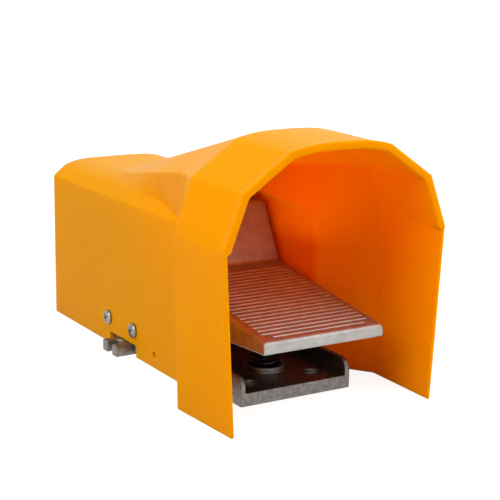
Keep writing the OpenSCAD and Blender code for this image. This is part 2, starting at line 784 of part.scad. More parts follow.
module valve_cap() {
    color("silver") difference() {
        cap_plate(cap_foot, cap_foot + cap_t);
        rod_z(0, spool_y, cap_foot - cut, cap_foot + cap_t + cut, plunger_r + run_gap);
        rod_z(0, spool_y, cap_foot - cut, cap_foot + wiper_t, wiper_r + fit_gap);
        both_sides() rod_z(cap_screw_x, spool_y, cap_foot - cut, cap_foot + cap_t + cut,
            cap_screw_d / 2 + screw_gap);
    }
}

module cap_screws() {
    color("gainsboro") both_sides() translate([cap_screw_x, spool_y, cap_foot + cap_t])
        cross_screw(cap_screw_d, cap_screw_l);
}

module cap_gasket() {
    color("black") difference() {
        cap_plate(valve_top, cap_foot);
        rod_z(0, spool_y, valve_top - cut, cap_foot + cut, plunger_r + gasket_gap);
        both_sides()
            rod_z(cap_screw_x, spool_y, valve_top - cut, cap_foot + cut, cap_screw_d / 2 + screw_gap);
    }
}

module wiper_seal() {
    color("black") difference() {
        rod_z(0, spool_y, cap_foot, cap_foot + wiper_t, wiper_r);
        rod_z(0, spool_y, cap_foot - cut, cap_foot + wiper_t + cut, plunger_r + run_gap);
    }
}

module spool() {
    color("gainsboro") difference() {
        rod_z(0, spool_y, spool_foot, spool_top, spool_r);
        for (i = [1, 3]) difference() {
            rod_z(0, spool_y, port_hs[i] - waist_l / 2, port_hs[i] + waist_l / 2, bore_r + cut);
            rod_z(0, spool_y, port_hs[i] - waist_l, port_hs[i] + waist_l, waist_r);
        }
        for (z = seal_hs) difference() {
            rod_z(0, spool_y, z - seal_wire / 2 - groove_gap, z + seal_wire / 2 + groove_gap, bore_r + cut);
            rod_z(0, spool_y, z - seal_wire, z + seal_wire, seal_groove_r);
        }
        rod_z(0, spool_y, spool_foot - cut, coil_top, coil_r);
        rod_z(0, spool_y, spool_top - stub_l - 0.5, spool_top + cut, stub_r + fit_gap);
    }
}

module spool_seals() {
    color("black") for (z = seal_hs)
        translate([0, spool_y, z]) seal_ring(seal_groove_r + 0.03 + seal_wire / 2, seal_wire / 2);
}

module plunger() {
    bevel = 0.8;
    color("gainsboro") translate([0, spool_y, 0]) rotate_extrude() polygon([[0, spool_top - stub_l],
        [stub_r, spool_top - stub_l], [stub_r, spool_top], [plunger_r, spool_top],
        [plunger_r, plunger_top - bevel], [plunger_r - bevel, plunger_top], [0, plunger_top]]);
}

module spool_spring() {
    color("lightgray") translate([0, spool_y, 0])
        coil(coil_r - run_gap - coil_wire / 2, coil_wire / 2, base_floor + plug_t, coil_top,
            coil_turns, 12, 6);
}

module end_plug() {
    groove_h = base_floor + plug_t / 2;
    groove_w = plug_seal_wire + 2 * groove_gap;
    groove = plug_r - plug_seal_wire - groove_gap / 2;
    color("darkgray") difference() {
        union() {
            rod_z(0, spool_y, base_floor, base_floor + plug_t, plug_r);
            rod_z(0, spool_y, base_floor, spool_foot - 1, coil_r - coil_wire - 0.5);
        }
        difference() {
            rod_z(0, spool_y, groove_h - groove_w / 2, groove_h + groove_w / 2, plug_r + cut);
            rod_z(0, spool_y, groove_h - plug_seal_wire, groove_h + plug_seal_wire, groove);
        }
    }
}

module end_plug_seal() {
    color("black") translate([0, spool_y, base_floor + plug_t / 2])
        seal_ring(plug_r - plug_seal_wire / 2 - 0.02, plug_seal_wire / 2);
}

guard();
guard_screws();
base();
pedal();
pivot_pin();
pivot_bushes();
pivot_circlips();
pedal_bumpers();
pedal_spring();
adjuster_screw();
adjuster_nut();
valve_body();
valve_screws();
valve_cap();
cap_screws();
cap_gasket();
wiper_seal();
spool();
spool_seals();
plunger();
spool_spring();
end_plug();
end_plug_seal();
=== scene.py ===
"""Dresses the guarded pneumatic foot switch: fine meshes, finishes, floor, light and camera."""

import json
import math

import bmesh
import bpy
from mathutils import Matrix, Vector

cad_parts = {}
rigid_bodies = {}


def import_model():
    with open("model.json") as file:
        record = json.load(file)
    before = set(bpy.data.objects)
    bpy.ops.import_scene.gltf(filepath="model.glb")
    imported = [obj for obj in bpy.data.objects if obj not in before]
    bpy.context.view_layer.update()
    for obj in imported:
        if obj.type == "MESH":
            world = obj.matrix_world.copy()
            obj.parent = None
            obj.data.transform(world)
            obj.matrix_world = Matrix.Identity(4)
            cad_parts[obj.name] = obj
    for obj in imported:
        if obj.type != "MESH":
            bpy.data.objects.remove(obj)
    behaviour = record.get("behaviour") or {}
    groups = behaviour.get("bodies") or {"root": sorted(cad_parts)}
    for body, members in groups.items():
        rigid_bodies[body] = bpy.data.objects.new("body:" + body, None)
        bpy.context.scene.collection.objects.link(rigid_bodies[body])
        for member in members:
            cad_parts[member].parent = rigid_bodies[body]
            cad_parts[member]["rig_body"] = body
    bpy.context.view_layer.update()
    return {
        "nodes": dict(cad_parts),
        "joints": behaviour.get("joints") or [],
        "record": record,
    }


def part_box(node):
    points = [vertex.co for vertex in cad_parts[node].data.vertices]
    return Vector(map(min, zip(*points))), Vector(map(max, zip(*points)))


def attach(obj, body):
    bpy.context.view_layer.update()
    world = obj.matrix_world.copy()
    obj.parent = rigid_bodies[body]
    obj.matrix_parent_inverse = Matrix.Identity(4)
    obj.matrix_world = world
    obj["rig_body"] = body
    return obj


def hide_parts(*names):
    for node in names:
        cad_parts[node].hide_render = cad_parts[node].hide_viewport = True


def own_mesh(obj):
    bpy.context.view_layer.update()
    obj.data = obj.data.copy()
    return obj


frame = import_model()
nodes = frame["nodes"]

# Shapes are written in millimetres and turned into metres when a mesh is made
MM = 0.001

# Points nearer than this are one point
SAME = 0.004

# How far a tool reaches past what it cuts through
THROUGH = 3


def box_of(node):
    """Lowest and highest corner of a node, in millimetres."""
    low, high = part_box(node)
    return low / MM, high / MM


def mix(a, b, t):
    return a + (b - a) * t


def curve_between(a, corner, b, t):
    """A point on the rounded way from a to b past a corner."""
    return a * (1 - t) ** 2 + corner * (2 * t * (1 - t)) + b * t ** 2


def read_table(table, x):
    """Reads rising pairs of x and value, with straight lines between them."""
    for (x0, v0), (x1, v1) in zip(table, table[1:]):
        if x0 < x1 and x <= x1:
            return mix(v0, v1, (x - x0) / (x1 - x0))
    return table[-1][1]


# Materials

# The part of a noise's range over which a finish goes from its first to its second look
NOISE_LOW, NOISE_HIGH = 0.35, 0.65

# How far the roughness of cast and of drawn metal goes to both sides of its middle
CAST_SPREAD, DRAWN_SPREAD = 0.07, 0.06


def linear(code):
    """A colour written as six hexadecimal digits, as linear light."""
    parts = [int(code[i:i + 2], 16) / 255 for i in (0, 2, 4)]
    return [p / 12.92 if p <= 0.04045 else ((p + 0.055) / 1.055) ** 2.4 for p in parts] + [1]


def new_material(name, **values):
    """A material whose main shader has the given plain values."""
    material = bpy.data.materials.new(name)
    material.use_nodes = True
    main = material.node_tree.nodes["Principled BSDF"]
    for socket, value in values.items():
        main.inputs[socket.replace("_", " ")].default_value = value
    return material


def add_node(material, kind, **inputs):
    """A node whose inputs are plain values or links from other nodes."""
    tree = material.node_tree
    node = tree.nodes.new(kind)
    for name, value in inputs.items():
        socket = node.inputs[name.replace("_", " ")]
        if isinstance(value, bpy.types.NodeSocket):
            tree.links.new(value, socket)
        else:
            socket.default_value = value
    return node


def grain(material, scale, detail=3, stretch=(1, 1, 1)):
    """Noise in the piece's own coordinates; scale is in waves for each metre."""
    place = add_node(material, "ShaderNodeTexCoord").outputs["Object"]
    spread = add_node(material, "ShaderNodeMapping", Vector=place, Scale=stretch).outputs["Vector"]
    noise = add_node(material, "ShaderNodeTexNoise", Vector=spread, Scale=scale, Detail=detail)
    return noise.outputs["Fac"]


def graded(material, noise, low, high):
    """A number that follows a noise from low to high."""
    node = add_node(material, "ShaderNodeMapRange", Value=noise, From_Min=NOISE_LOW,
                    From_Max=NOISE_HIGH, To_Min=low, To_Max=high)
    return node.outputs["Result"]


def tinted(material, noise, low, high):
    """A colour that follows a noise from one to another."""
    ramp = add_node(material, "ShaderNodeValToRGB", Fac=noise)
    stops = ramp.color_ramp.elements
    for stop, place, colour in zip(stops, (NOISE_LOW, NOISE_HIGH), (low, high)):
        stop.position = place
        stop.color = linear(colour)
    return ramp.outputs["Color"]


def bumped(material, noise, depth):
    """A normal that follows a height of so many millimetres."""
    bump = add_node(material, "ShaderNodeBump", Height=noise, Distance=depth * MM, Strength=1)
    return bump.outputs["Normal"]


def connect(material, **sources):
    """Links sources to the main shader's inputs."""
    main = material.node_tree.nodes["Principled BSDF"]
    for name, source in sources.items():
        material.node_tree.links.new(source, main.inputs[name.replace("_", " ")])


def guard_plastic():
    """Moulded plastic that takes in a little light, with a satin skin."""
    material = new_material("guard_plastic", IOR=1.5, Specular_IOR_Level=0.018,
                            Specular_Tint=linear("FFA020"), Subsurface_Weight=0.7,
                            Subsurface_Radius=(1, 0.45, 0.05), Subsurface_Scale=6 * MM)
    cloud, skin = grain(material, scale=14), grain(material, scale=900, detail=2)
    connect(material, Base_Color=tinted(material, cloud, "FC9A00", "FF9D00"),
            Roughness=graded(material, cloud, 0.3, 0.36),
            Normal=bumped(material, skin, depth=0.012))
    return material


def cast_metal(name, dark, light, rough, depth, cloud_scale):
    """Die-cast metal: a fine tumbled grain over clouds of lighter and darker skin."""
    material = new_material(name, Metallic=1)
    cloud, skin = grain(material, cloud_scale, detail=4), grain(material, scale=700)
    connect(material, Base_Color=tinted(material, cloud, dark, light),
            Roughness=graded(material, skin, rough - CAST_SPREAD, rough + CAST_SPREAD),
            Normal=bumped(material, skin, depth))
    return material


def drawn_steel(name, dark, light, rough):
    """Wire, pins and screws: smooth, with fine draw marks."""
    material = new_material(name, Metallic=1)
    cloud = grain(material, scale=120)
    marks = grain(material, scale=500, detail=2, stretch=(1, 1, 6))
    connect(material, Base_Color=tinted(material, cloud, dark, light),
            Roughness=graded(material, marks, rough - DRAWN_SPREAD, rough + DRAWN_SPREAD),
            Normal=bumped(material, marks, depth=0.01))
    return material


def seal_rubber():
    """Matt black rubber."""
    material = new_material("seal_rubber")
    cloud, skin = grain(material, scale=90), grain(material, scale=1500)
    connect(material, Base_Color=tinted(material, cloud, "141414", "1E1D1C"),
            Roughness=graded(material, skin, 0.62, 0.8),
            Normal=bumped(material, skin, depth=0.02))
    return material


FINISHES = {
    "guard_plastic": guard_plastic(),
    "cast_base": cast_metal("cast_base", "716D69", "8B8681", rough=0.42, depth=0.04,
                            cloud_scale=420),
    "cast_pedal": cast_metal("cast_pedal", "A5A29E", "B5B2AD", rough=0.45, depth=0.004,
                             cloud_scale=160),
    "valve_metal": cast_metal("valve_metal", "AFB0B2", "BCBDBE", rough=0.36, depth=0.03,
                              cloud_scale=160),
    "plated_steel": drawn_steel("plated_steel", "7C7B77", "9A9994", rough=0.26),
    "dark_steel": drawn_steel("dark_steel", "2B2B2D", "3C3C3F", rough=0.3),
    "bronze": drawn_steel("bronze", "A8834A", "C29A5C", rough=0.34),
    "seal_rubber": seal_rubber(),
}
SLOT_OF = {part["node"]: part["material_slot"] for part in frame["record"]["subparts"]}


# Mesh building

# Edges that turn by more than these are shaded sharp, or rounded off
SHARP_ANGLE, BEVEL_ANGLE = math.radians(38), math.radians(35)

# Faces of the solids that turn by less than this are one face
FLAT_ANGLE = math.radians(1.5)

# An outline's corner is rounded in so many steps, and takes no more than this share of an edge
ROUND_STEPS, ROUND_SHARE = 6, 0.7


def shade(mesh):
    """Shades a mesh smooth, apart from its sharp edges."""
    mesh.shade_smooth()
    mesh.set_sharp_from_angle(angle=SHARP_ANGLE)


def mesh_from(bm, name):
    """Welds a built mesh and shades it."""
    bmesh.ops.remove_doubles(bm, verts=bm.verts, dist=SAME * MM)
    bmesh.ops.dissolve_degenerate(bm, edges=bm.edges, dist=SAME * MM)
    bmesh.ops.recalc_face_normals(bm, faces=bm.faces)
    mesh = bpy.data.meshes.new(name)
    bm.to_mesh(mesh)
    bm.free()
    shade(mesh)
    return mesh


def new_object(name, data):
    made = bpy.data.objects.new(name, data)
    bpy.context.scene.collection.objects.link(made)
    return made


def bake_modifiers(piece):
    """Turns what the modifiers make of a piece into its own mesh."""
    bpy.context.view_layer.update()
    old = piece.data
    shown = piece.evaluated_get(bpy.context.evaluated_depsgraph_get())
    piece.data = bpy.data.meshes.new_from_object(shown)
    piece.modifiers.clear()
    bpy.data.meshes.remove(old)
    shade(piece.data)


def combine(piece, bm, operation):
    """Cuts a built tool from a piece, or joins it to the piece."""
    tool = new_object("tool", mesh_from(bm, "tool"))
    boolean = piece.modifiers.new("combine", "BOOLEAN")
    boolean.operation = operation
    boolean.solver = "EXACT"
    boolean.object = tool
    bake_modifiers(piece)
    bpy.data.objects.remove(tool)


def bevel(piece, width, segments=3):
    """Rounds the sharp edges of a piece by so many millimetres."""
    rounding = piece.modifiers.new("bevel", "BEVEL")
    rounding.width = width * MM
    rounding.segments = segments
    rounding.limit_method = "ANGLE"
    rounding.angle_limit = BEVEL_ANGLE
    rounding.miter_outer = "MITER_ARC"
    return rounding


def weld(piece, reach):
    """Joins points that are nearer to each other than so many millimetres."""
    piece.modifiers.new("weld", "WELD").merge_threshold = reach * MM


def soften(piece, width):
    """Rounds the edges of a piece whose mesh comes from the solids."""
    weld(piece, SAME)
    plain = piece.modifiers.new("plain", "DECIMATE")
    plain.decimate_type = "DISSOLVE"
    plain.angle_limit = FLAT_ANGLE
    bevel(piece, width).use_clamp_overlap = False


def even_normals(piece):
    """Lets the large faces set the shading at their edges, so that they stay flat."""
    piece.modifiers.new("normals", "WEIGHTED_NORMAL").keep_sharp = True


def finish(piece, node):
    """Gives a piece the finish of a node."""
    slot = SLOT_OF[node]
    piece.data.materials.clear()
    piece.data.materials.append(FINISHES[slot])


def place_piece(piece, node):
    """Puts a piece in the place of a node, on the node's body and with its finish."""
    finish(piece, node)
    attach(piece, nodes[node]["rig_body"])
    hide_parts(node)


def add_ring(bm, points):
    return [bm.verts.new(Vector(p) * MM) for p in points]


def add_skin(bm, rings, closed=True):
    """Faces between rings of the same number of points."""
    for a, b in zip(rings, rings[1:]):
        count = len(a)
        for j in range(count if closed else count - 1):
            k = (j + 1) % count
            bm.faces.new((a[j], a[k], b[k], b[j]))


def add_solid(bm, rings):
    """A closed skin around rings, with a face at both ends."""
    add_skin(bm, rings)
    bm.faces.new(rings[0])
    bm.faces.new(rings[-1])


def add_lathe(bm, profile, place=Matrix(), steps=40):
    """A solid turned around Z: pairs of radius and height from one end to the other."""
    turn = [math.tau * i / steps for i in range(steps)]
    rings = []
    for radius, z in profile:
        points = [Vector((radius * math.cos(a), radius * math.sin(a), z)) for a in turn]
        rings.append(add_ring(bm, [place @ p for p in points]))
    add_solid(bm, rings)


def add_prism(bm, outline, start, end):
    """A closed outline in Y and Z, as wide as from one x to another."""
    add_solid(bm, [add_ring(bm, [(x, y, z) for y, z in outline]) for x in (start, end)])


def add_block(bm, low, high):
    outline = [(low[1], low[2]), (high[1], low[2]), (high[1], high[2]), (low[1], high[2])]
    add_prism(bm, outline, low[0], high[0])


def rod(radius, start, end):
    """The profile of a plain round bar along Z."""
    return [(radius, start), (radius, end)]


def along_x(x, y, z, side=1):
    """Turns Z to point outwards on one side of the part."""
    turn = Matrix.Rotation(side * math.pi / 2, 4, "Y")
    return Matrix.Translation((side * x, y, z)) @ turn


def rounded(points, radii):
    """A closed outline with its corners rounded."""
    made = []
    for i, (p, radius) in enumerate(zip(points, radii)):
        before, after = points[i - 1] - p, points[(i + 1) % len(points)] - p
        half_turn = before.angle(after) / 2
        most = ROUND_SHARE * min(before.length, after.length)
        reach = min(radius / math.tan(half_turn), most)
        a, b = p + before.normalized() * reach, p + after.normalized() * reach
        if reach > SAME:
            made += [curve_between(a, p, b, k / ROUND_STEPS) for k in range(ROUND_STEPS + 1)]
        else:
            made.append(p)
    return made


# Guard: sections along its length, each from the floor up to the crown

guard_low, guard_high = box_of("guard")
FRONT, REAR = guard_low.y, guard_high.y
HOOD_L, FUNNEL_L = 48.8, 29
HOOD_REAR = FRONT + HOOD_L
FUNNEL_REAR = HOOD_REAR + FUNNEL_L

# The roof's sides and its ridge end so far ahead of the rear
TIP_BACK, RIDGE_BACK = 55, 43
TIP_Y, RIDGE_END = REAR - TIP_BACK, REAR - RIDGE_BACK

# Hood: half widths at the front and the rear, and heights
FOOT_HALVES = (60.1, 61.9)
SHOULDER_DRAFT, SHOULDER_H = 1.1, 89.7
SHOULDER_HALVES = (guard_high.x, guard_high.x - SHOULDER_DRAFT)
FACET_HALF, FACET_H = 54.5, 117.2
CROWN_HALF, HOOD_H = 29.5, guard_high.z

# Box behind the hood, and the roof that falls to it from the neck to the tip
BOX_HALF, BOX_WALL_H = 41.7, 86.4
CHAMFER_HALF, CHAMFER_H = 34.5, 92.2
BOX_H = 95.7
NECK = Vector((44, 114))
TIP_HALF, TIP_DROP = 22.65, 0.6
TIP = Vector((TIP_HALF, BOX_H - TIP_DROP))

# Powers of the arches: the larger one is, the flatter its top
HOOD_CURVE, TAIL_CURVE, BOX_CURVE = 3, 2, 5

# How far the roof's sides go down, and how they lean on the way from the neck to the tip
FACET_DEPTH = 40
NECK_LEAN = (BOX_HALF - NECK.x) / (NECK.y - BOX_WALL_H)
FACET_LEAN = ((0, NECK_LEAN), (0.37, -0.095), (0.62, 0.376), (1.2, 1))

# Wall, which thins towards the mouth, the lip inside the mouth and the bead around it
GUARD_WALL, MOUTH_DRAFT = 3, 1.2
LIP_RISE, LIP_L, LIP_STEP = 1.7, 6, 0.8
BEAD, BEAD_L = 0.6, 1.5
RIM_R = 0.7

# How far the corners are rounded off: foot, wall, chamfer, valley, roof edge and crown
OUTER_CUTS = (0.6, 1.2, 1.3, 0.6, 1.0, 1.6)
INNER_CUTS = (0.6, 1.4, 1.4, 1.4, 1.4, 1.6)
SHOULDER_CUT, LIP_CUT = 2.2, 0.7

# A corner takes no more than this share of a stretch beside it
CUT_SHARE = 0.45

# Where the guard turns along its length, and how far that is rounded to both sides
TURNS = ((HOOD_REAR, 0.6), (FUNNEL_REAR, 2))

# Steps of the mesh: around a section, at its corners, along the guard and around the rim
SPAN_STEPS = (1, 6, 2, 9, 5, 4, 12)
CORNER_STEPS = 4
STATION_STEPS = (6, 6, 6, 6, 64, 8)
RIM_ANGLES = [math.radians(a) for a in (0, 30, 60, 90)]
CROWN_STEPS, BOX_STEPS = 16, 24

# Halvings after which a meeting point is found
HALVINGS = 40

# Shares of the half width at which the points of the arches lie
crown_share = CROWN_HALF / FACET_HALF
CROWN_SHARES = [1] + [crown_share * (1 - i / CROWN_STEPS) for i in range(CROWN_STEPS + 1)]
BOX_SHARES = [1 - i / BOX_STEPS for i in range(BOX_STEPS + 1)]


def normal(a, b):
    """The outward direction of a stretch of an outline."""
    along = (b - a).normalized()
    return Vector((along.y, -along.x))


def inset(outline, wall):
    """A half outline moved inwards by a wall."""
    moved = []
    for i, p in enumerate(outline):
        before = outline[i - 1] if i else p - Vector((0, 1))
        last = i + 1 == len(outline)
        after = Vector((-outline[i - 1].x, outline[i - 1].y)) if last else outline[i + 1]
        n, m = normal(before, p), normal(p, after)
        moved.append(p - (n + m) * (wall / (1 + n.dot(m))))
    return moved


def arch(edge, crown, curve, shares):
    """Points of an arch from its edge to its crown, at shares of its half width."""
    return [Vector((edge.x * u, crown - (crown - edge.y) * u ** curve)) for u in shares]


def height_at(outline, x):
    """Height of an outline that runs from its widest point to the middle."""
    return read_table([(-p.x, p.y) for p in outline], -x)


def line(a, b):
    """The straight way from a to b."""
    return lambda t: mix(a, b, t)


def stretch_of(outline, start, end):
    """The way along an outline from one x to another."""
    return lambda t: Vector((mix(start, end, t), height_at(outline, mix(start, end, t))))


def half_ring(foot, wall_top, chamfer_top, valley, box_top, roof, foot_wall, cuts):
    """Points from the middle of the wall's foot to the crown, with the corners rounded off."""
    edge, crown = roof[0], roof[1]
    beside = stretch_of(box_top, chamfer_top.x, valley.x) if box_top else line(chamfer_top, valley)
    spans = (line(foot - Vector((foot_wall, 0)), foot), line(foot, wall_top),
             line(wall_top, chamfer_top), beside, line(valley, edge), line(edge, crown),
             stretch_of(roof[1:], crown.x, 0))
    lengths = [(span(1) - span(0)).length for span in spans]
    trims = [min(cut, CUT_SHARE * a, CUT_SHARE * b)
             for cut, a, b in zip(cuts, lengths, lengths[1:])]
    points = []
    for i, (span, length, steps) in enumerate(zip(spans, lengths, SPAN_STEPS)):
        length = max(length, SAME)
        start = trims[i - 1] / length if i else 0
        end = 1 - trims[i] / length if i < len(trims) else 1
        run = [span(mix(start, end, k / steps)) for k in range(steps + 1)]
        if points:
            ends = points[-1], span(0), run[0]
            points += [curve_between(*ends, k / CORNER_STEPS) for k in range(1, CORNER_STEPS)]
        points += run
    return points


def hood_ring(share, low_wall, high_wall, shoulder_cut, foot_wall, cuts):
    """The hood's half section, at a share of its length from the front."""
    outline = [Vector((mix(*FOOT_HALVES, share), 0)),
               Vector((mix(*SHOULDER_HALVES, share), SHOULDER_H))]
    outline += arch(Vector((FACET_HALF, FACET_H)), HOOD_H, HOOD_CURVE, CROWN_SHARES)
    foot, low_shoulder = inset(outline, low_wall)[:2]
    high_shoulder, *roof = inset(outline, high_wall)[1:]
    foot.y = 0
    below = low_shoulder + (foot - low_shoulder).normalized() * shoulder_cut
    above = high_shoulder + (roof[0] - high_shoulder).normalized() * shoulder_cut
    middle = curve_between(below, (low_shoulder + high_shoulder) / 2, above, 0.5)
    return half_ring(foot, below, middle, above, None, roof, foot_wall, cuts)


def meeting(low, high, difference):
    """Where a difference changes its sign between two numbers."""
    for _ in range(HALVINGS):
        middle = (low + high) / 2
        low, high = (middle, high) if difference(middle) > 0 else (low, middle)
    return (low + high) / 2


def roof_ring(y, wall, foot_wall, cuts):
    """The half section behind the funnel: the roof above the box, and the box beside it."""
    outline = [Vector((BOX_HALF, 0)), Vector((BOX_HALF, BOX_WALL_H))]
    outline += arch(Vector((CHAMFER_HALF, CHAMFER_H)), BOX_H, BOX_CURVE, BOX_SHARES)
    foot, *box_top = inset(outline, wall)
    foot.y = 0
    wall_top, chamfer_top = box_top[0], box_top[1]

    t = (y - FUNNEL_REAR) / (TIP_Y - FUNNEL_REAR)
    ridge = mix(HOOD_H, BOX_H, (y - HOOD_REAR) / (RIDGE_END - HOOD_REAR))
    fall = Vector((read_table(FACET_LEAN, t), -1))
    slope = arch(mix(NECK, TIP, t), ridge, mix(HOOD_CURVE, TAIL_CURVE, t), CROWN_SHARES)
    slope = [slope[0] + fall * FACET_DEPTH] + slope
    roof = inset(slope, wall)[1:]
    edge = roof[0]

    def above_box(down):
        return edge.y - down - height_at(box_top, edge.x + fall.x * down)

    if edge.y > height_at(box_top, edge.x):
        valley = edge + fall * meeting(0, FACET_DEPTH, above_box)
        if valley.x > wall_top.x or t <= 0:
            valley = wall_top.copy()
    elif roof[-1].y > box_top[-1].y:
        x = meeting(0, edge.x, lambda s: height_at(roof, s) - height_at(box_top, s))
        roof = [Vector((x * u, height_at(roof, x * u))) for u in CROWN_SHARES]
        valley = roof[0]
    else:
        valley = box_top[-1]
        roof = [valley.copy() for _ in roof]
    if valley.x > chamfer_top.x:
        chamfer_top = valley
    return half_ring(foot, wall_top, chamfer_top, valley, box_top, roof, foot_wall, cuts)


def guard_section(y, inner):
    """The guard's half section at y, before its turns along the guard are rounded."""
    depth = min(y - FRONT, REAR - y)
    loss = RIM_R - math.sqrt(RIM_R ** 2 - (RIM_R - depth) ** 2) if depth < RIM_R else 0
    share = (y - FRONT) / (HOOD_REAR - FRONT)
    ahead = max(0, 1 - share)
    thickness = GUARD_WALL - MOUTH_DRAFT * ahead
    wall = thickness - loss if inner else loss
    foot_wall = thickness / 2 - wall
    cuts = INNER_CUTS if inner else OUTER_CUTS
    if y <= HOOD_REAR:
        sunk = BEAD * ahead
        lip_l, lip = (LIP_L, LIP_RISE) if inner else (BEAD_L, -sunk)
        near = min(1, max(0, (FRONT + lip_l + LIP_STEP - y) / LIP_STEP))
        low_wall = wall + sunk
        cut = mix(SHOULDER_CUT, LIP_CUT, near)
        return hood_ring(share, low_wall, low_wall + lip * near, cut, foot_wall, cuts)
    if y >= FUNNEL_REAR:
        return roof_ring(y, wall, foot_wall, cuts)
    t = (y - HOOD_REAR) / (FUNNEL_REAR - HOOD_REAR)
    ends = (hood_ring(1, wall, wall, SHOULDER_CUT, foot_wall, cuts),
            roof_ring(FUNNEL_REAR, wall, foot_wall, cuts))
    return [mix(a, b, t) for a, b in zip(*ends)]


def guard_half(y, inner):
    """The guard's half section at y."""
    for turn, reach in TURNS:
        if abs(y - turn) < reach:
            t = (y - turn + reach) / (2 * reach)
            near = [guard_section(turn + d, inner) for d in (-reach, 0, reach)]
            return [curve_between(a, b, c, t) for a, b, c in zip(*near)]
    return guard_section(y, inner)


def guard_stations():
    """Places along the guard, close together where its form changes."""
    rim = [RIM_R * (1 - math.cos(a)) for a in RIM_ANGLES]
    stops = [FRONT + LIP_L + LIP_STEP]
    for turn, reach in TURNS:
        stops += [turn - reach, turn + reach]
    stops += [RIDGE_END, REAR - RIM_R]
    places = [FRONT + d for d in rim]
    places += [FRONT + BEAD_L, FRONT + BEAD_L + LIP_STEP, FRONT + LIP_L]
    for start, end, count in zip(stops, stops[1:], STATION_STEPS):
        places += [mix(start, end, i / count) for i in range(count)]
    return places + [REAR - d for d in reversed(rim)]


# Notch around the lug and vent ahead of it, as distances from the lug's middle
LUG_BACK = 96.8
LUG_Y = REAR - LUG_BACK
NOTCH_AHEAD, NOTCH_BEHIND, NOTCH_H = 14.7, 18.8, 7
NOTCH_Y = (LUG_Y - NOTCH_AHEAD, LUG_Y + NOTCH_BEHIND)
VENT_AHEAD, VENT_H, VENT_R = 36.2, 7.7, 1.9
VENT_Y = LUG_Y - VENT_AHEAD

# Screws, placed by their heads
screw_low, screw_high = box_of("guard_screws")
HEAD_R = (screw_high.z - screw_low.z) / 2
SCREW_H = (screw_high.z + screw_low.z) / 2
SCREW_YS = (screw_low.y + HEAD_R, screw_high.y - HEAD_R)
SCREW_HOLE_R = 2.2


def guard():
    """The moulded shell, with the lugs' notches, the screw holes and the vents."""
    bm = bmesh.new()
    skins = []
    for inner in (False, True):
        rings = []
        for y in guard_stations():
            half = guard_half(y, inner)
            whole = half + [Vector((-p.x, p.y)) for p in reversed(half[:-1])]
            rings.append(add_ring(bm, [(p.x, y, p.y) for p in whole]))
        add_skin(bm, rings, closed=False)
        skins.append(rings)
    for end in (0, -1):
        add_skin(bm, [skins[0][end], skins[1][end]], closed=False)
    shell = new_object("guard_shell", mesh_from(bm, "guard_shell"))

    tools = bmesh.new()
    bore = (-GUARD_WALL - THROUGH, THROUGH)
    for side in (-1, 1):
        inside, outside = sorted(side * (BOX_HALF + d) for d in bore)
        add_block(tools, (inside, NOTCH_Y[0], -THROUGH), (outside, NOTCH_Y[1], NOTCH_H))
        for y in SCREW_YS:
            place = along_x(BOX_HALF, y, SCREW_H, side)
            add_lathe(tools, rod(SCREW_HOLE_R, *bore), place)
        add_lathe(tools, rod(VENT_R, *bore), along_x(BOX_HALF, VENT_Y, VENT_H, side))
    combine(shell, tools, "DIFFERENCE")
    place_piece(shell, "guard")


guard()


# Screws with a domed head and a cross recess

HEAD_T, HEAD_SIDE_T = 2.5, 0.95
DOME_STEPS, DOME_TOP_SHARE = 10, 0.08
SHANK_R, SHANK_L = 2, 11.93
POINT_R, POINT_L = 1.2, 0.8
RECESS_TURN = math.radians(20)

# Each slot of the recess: half length, half width and height at its foot and above the head
RECESS_RINGS = ((1.82, 0.52325, HEAD_T - 2), (2.6, 0.5525, HEAD_T + 1))


def guard_screw():
    """A screw along Z: its head stands on z = 0 and its shank points down."""
    angles = [math.radians(90 * (1 - i / DOME_STEPS)) for i in range(DOME_STEPS)]
    dome = [(HEAD_R * math.sin(a), mix(HEAD_SIDE_T, HEAD_T, math.cos(a))) for a in angles]
    bm = bmesh.new()
    add_lathe(bm, [(POINT_R, -SHANK_L), (SHANK_R, POINT_L - SHANK_L), (SHANK_R, 0), (HEAD_R, 0),
                   *dome, (HEAD_R * DOME_TOP_SHARE, HEAD_T)])
    made = new_object("guard_screw", mesh_from(bm, "guard_screw"))
    for turn in (0, math.pi / 2):
        spin = Matrix.Rotation(turn, 4, "Z")
        tools = bmesh.new()
        rings = []
        for long, wide, z in RECESS_RINGS:
            corners = ((-long, -wide), (long, -wide), (long, wide), (-long, wide))
            rings.append(add_ring(tools, [spin @ Vector((x, y, z)) for x, y in corners]))
        add_solid(tools, rings)
        combine(made, tools, "DIFFERENCE")
    return made


def guard_screws():
    """Copies of one screw on both sides of the guard, as one piece."""
    part = guard_screw()
    spin = Matrix.Rotation(RECESS_TURN, 4, "Z")
    bm = bmesh.new()
    for side in (-1, 1):
        for y in SCREW_YS:
            place = along_x(BOX_HALF, y, SCREW_H, side) @ spin
            copy = part.data.copy()
            copy.transform(Matrix.Scale(MM, 4) @ place @ Matrix.Scale(1 / MM, 4))
            bm.from_mesh(copy)
            bpy.data.meshes.remove(copy)
    bpy.data.objects.remove(part)
    screws = new_object("guard_screw_set", mesh_from(bm, "guard_screw_set"))
    place_piece(screws, "guard_screws")


guard_screws()


# Springs wound from wire in the places of their nodes

PEDAL_WIRE, PEDAL_TURNS = 1.8, 8.5
SPOOL_WIRE, SPOOL_TURNS = 1, 7

# Closed turns at each end of a spring, and their pitch for each thickness of wire
END_TURNS, END_PITCH = 1, 1.05
WIRE_SIDES, TURN_STEPS = 12, 36


